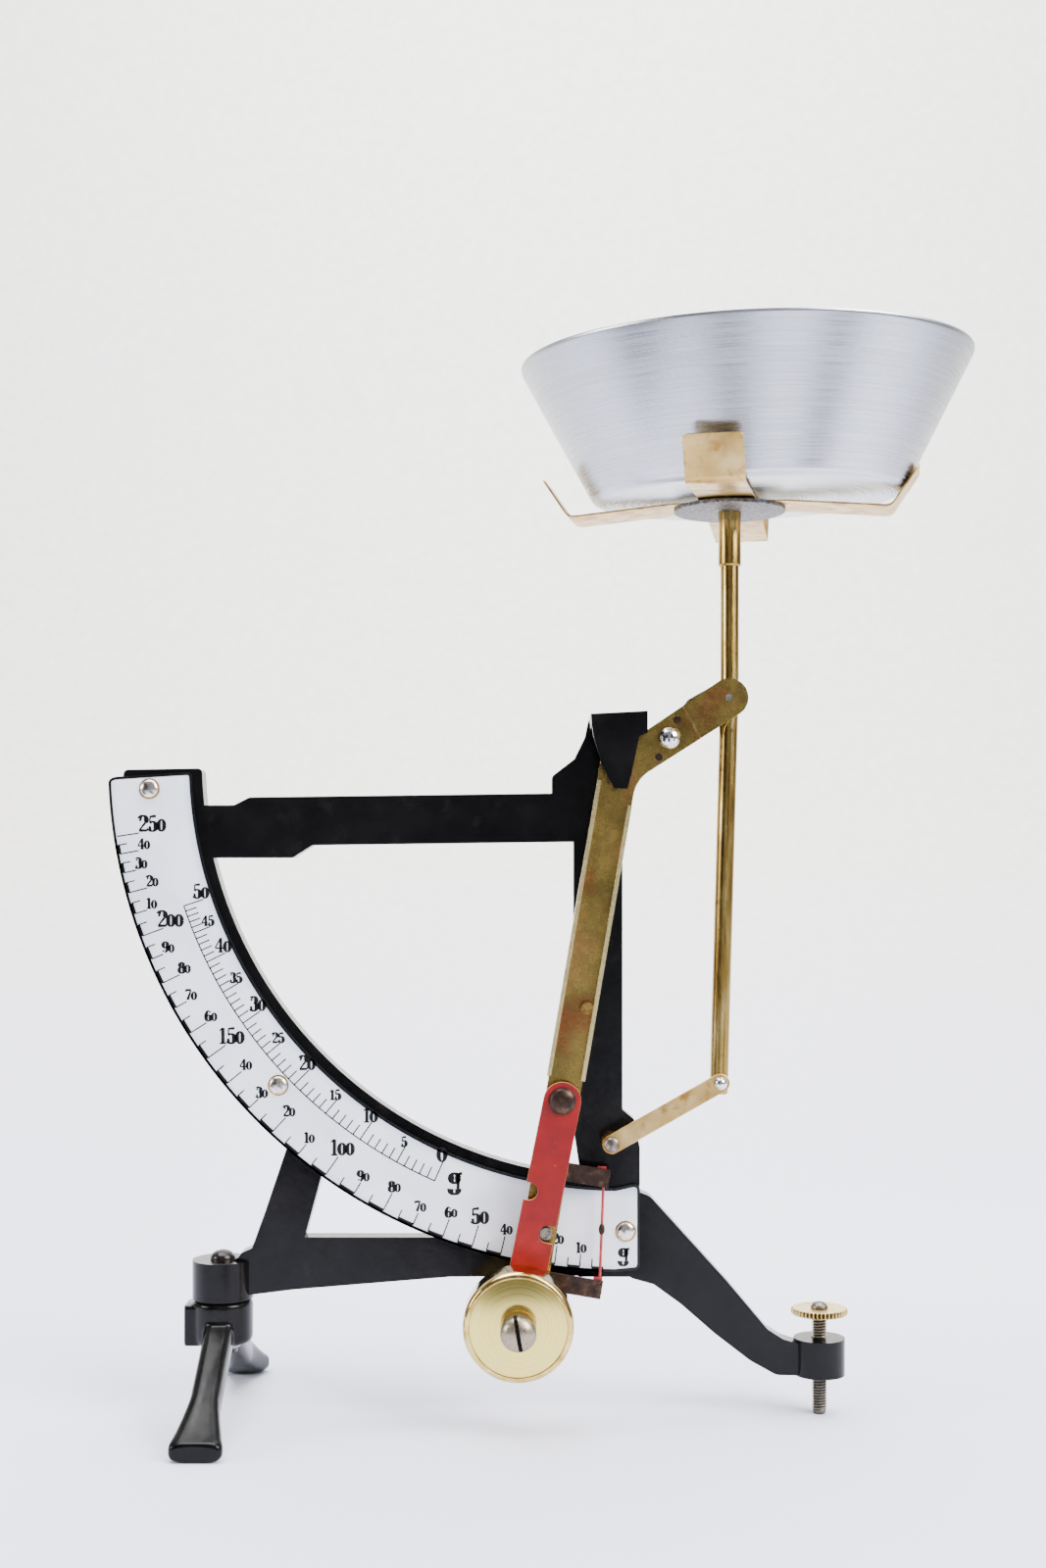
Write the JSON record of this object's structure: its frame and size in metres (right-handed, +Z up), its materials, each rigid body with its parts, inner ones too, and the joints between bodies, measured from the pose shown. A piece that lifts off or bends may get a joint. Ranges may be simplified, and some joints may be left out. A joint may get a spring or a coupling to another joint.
{
  "type": "letter scale",
  "caption": "Two-range pendulum letter scale with a white quadrant dial, a brass lever with a flip-over weight, a bowl on a rod and a folding foot.",
  "frame": {"origin": "centre of the box's underside, on the surface that the feet and the levelling screw stand on", "axes": "+X to the right along the dial, +Y away from the dial's face, +Z up"},
  "size_m": [0.2165, 0.1119, 0.2686],
  "materials": {
    "cast_black": "glossy black stoving enamel on cast iron",
    "dial_enamel": "white fired enamel on sheet steel with black markings",
    "nickel": "nickel-plated domed heads",
    "steel_axle": "bright drawn steel",
    "bush_brass": "turned brass",
    "lever_brass": "brass with a mottled brown and green patina",
    "dark_bronze": "dark bronzed brass",
    "ball_steel": "polished steel",
    "red_paint": "worn red paint on brass",
    "weight_brass": "turned brass, satin face and bright edge",
    "screw_steel": "oxidised steel",
    "rod_brass": "drawn brass tube, lacquered and worn",
    "disc_steel": "speckled grey steel",
    "strip_brass": "rolled pale brass with brown stains",
    "bowl_aluminium": "spun aluminium, brushed round",
    "rivet_black": "steel under black enamel",
    "wheel_brass": "knurled brass"
  },
  "bodies": {
    "frame": {"frame_casting": "cast_black", "dial_plate": "dial_enamel", "dial_rivets": "nickel", "rear_bush": "bush_brass", "front_bush": "bush_brass", "link_stud": "strip_brass", "link_spacer": "bush_brass", "foot_rivet": "rivet_black", "foot_washer": "steel_axle"},
    "lever": {"pivot_axle": "steel_axle", "pivot_collar": "bush_brass", "lever_channel": "lever_brass", "lever_rear_plate": "lever_brass", "lever_rivets": "dark_bronze", "trim_ball": "ball_steel", "upper_stop_pin": "lever_brass", "lower_stop_pin": "lever_brass", "pointer_frame": "dark_bronze", "pointer_rivets": "dark_bronze", "pointer_needle": "red_paint", "reading_bead": "dark_bronze", "weight_rivet": "dark_bronze", "weight_washer": "bush_brass"},
    "weight": {"weight_strip": "red_paint", "counterweight": "weight_brass", "weight_collar": "weight_brass", "weight_screw": "screw_steel"},
    "rod": {"rod_top_pin": "steel_axle", "rod_bottom_pin": "ball_steel", "bowl_rod": "rod_brass", "rod_sleeve": "bush_brass", "carrier_disc": "disc_steel", "spider_lower": "strip_brass", "spider_upper": "strip_brass", "spider_rivet": "bush_brass"},
    "link": {"lower_link": "strip_brass"},
    "bowl": {"bowl": "bowl_aluminium"},
    "foot": {"folding_foot": "cast_black"},
    "screw": {"leveling_screw": "screw_steel"},
    "wheel": {"knurled_wheel": "wheel_brass"}
  },
  "joints": [
    {"name": "lever_pivot", "type": "hinge", "parent": "frame", "child": "lever", "pos_m": [0.02106, 0, 0.166], "axis": [0, 1, 0], "range_deg": [-2, 81]},
    {"name": "rod_pivot", "type": "hinge", "parent": "lever", "child": "rod", "pos_m": [0.04806, 0, 0.1813], "axis": [0, 1, 0], "range_deg": [-81, 2]},
    {"name": "link_pivot", "type": "hinge", "parent": "frame", "child": "link", "pos_m": [0.01886, 0, 0.07], "axis": [0, 1, 0], "range_deg": [-2, 81]},
    {"name": "weight_flip", "type": "hinge", "parent": "lever", "child": "weight", "pos_m": [0.00652, 0, 0.08093], "axis": [0, 1, 0], "range_deg": [0, 176]},
    {"name": "bowl_lift", "type": "slide", "parent": "rod", "child": "bowl", "axis": [0, 0, 1], "range_m": [0, 0.06]},
    {"name": "foot_fold", "type": "hinge", "parent": "frame", "child": "foot", "pos_m": [-0.07974, 0.008, 0.029], "axis": [0, 0, 1], "range_deg": [0, 90]},
    {"name": "screw_travel", "type": "slide", "parent": "frame", "child": "screw", "axis": [0, 0, 1], "range_m": [-0.005, 0.0075]},
    {"name": "wheel_turn", "type": "hinge", "parent": "screw", "child": "wheel", "pos_m": [0.07226, 0.008, 0.026], "axis": [0, 0, 1], "range_deg": [-2571.5, 3857.3]}
  ],
  "couplings": [
    {"joint": "rod_pivot", "follows": "lever_pivot", "ratio": -1},
    {"joint": "link_pivot", "follows": "lever_pivot", "ratio": 1},
    {"joint": "wheel_turn", "follows": "screw_travel", "rad_per_m": 8976}
  ]
}
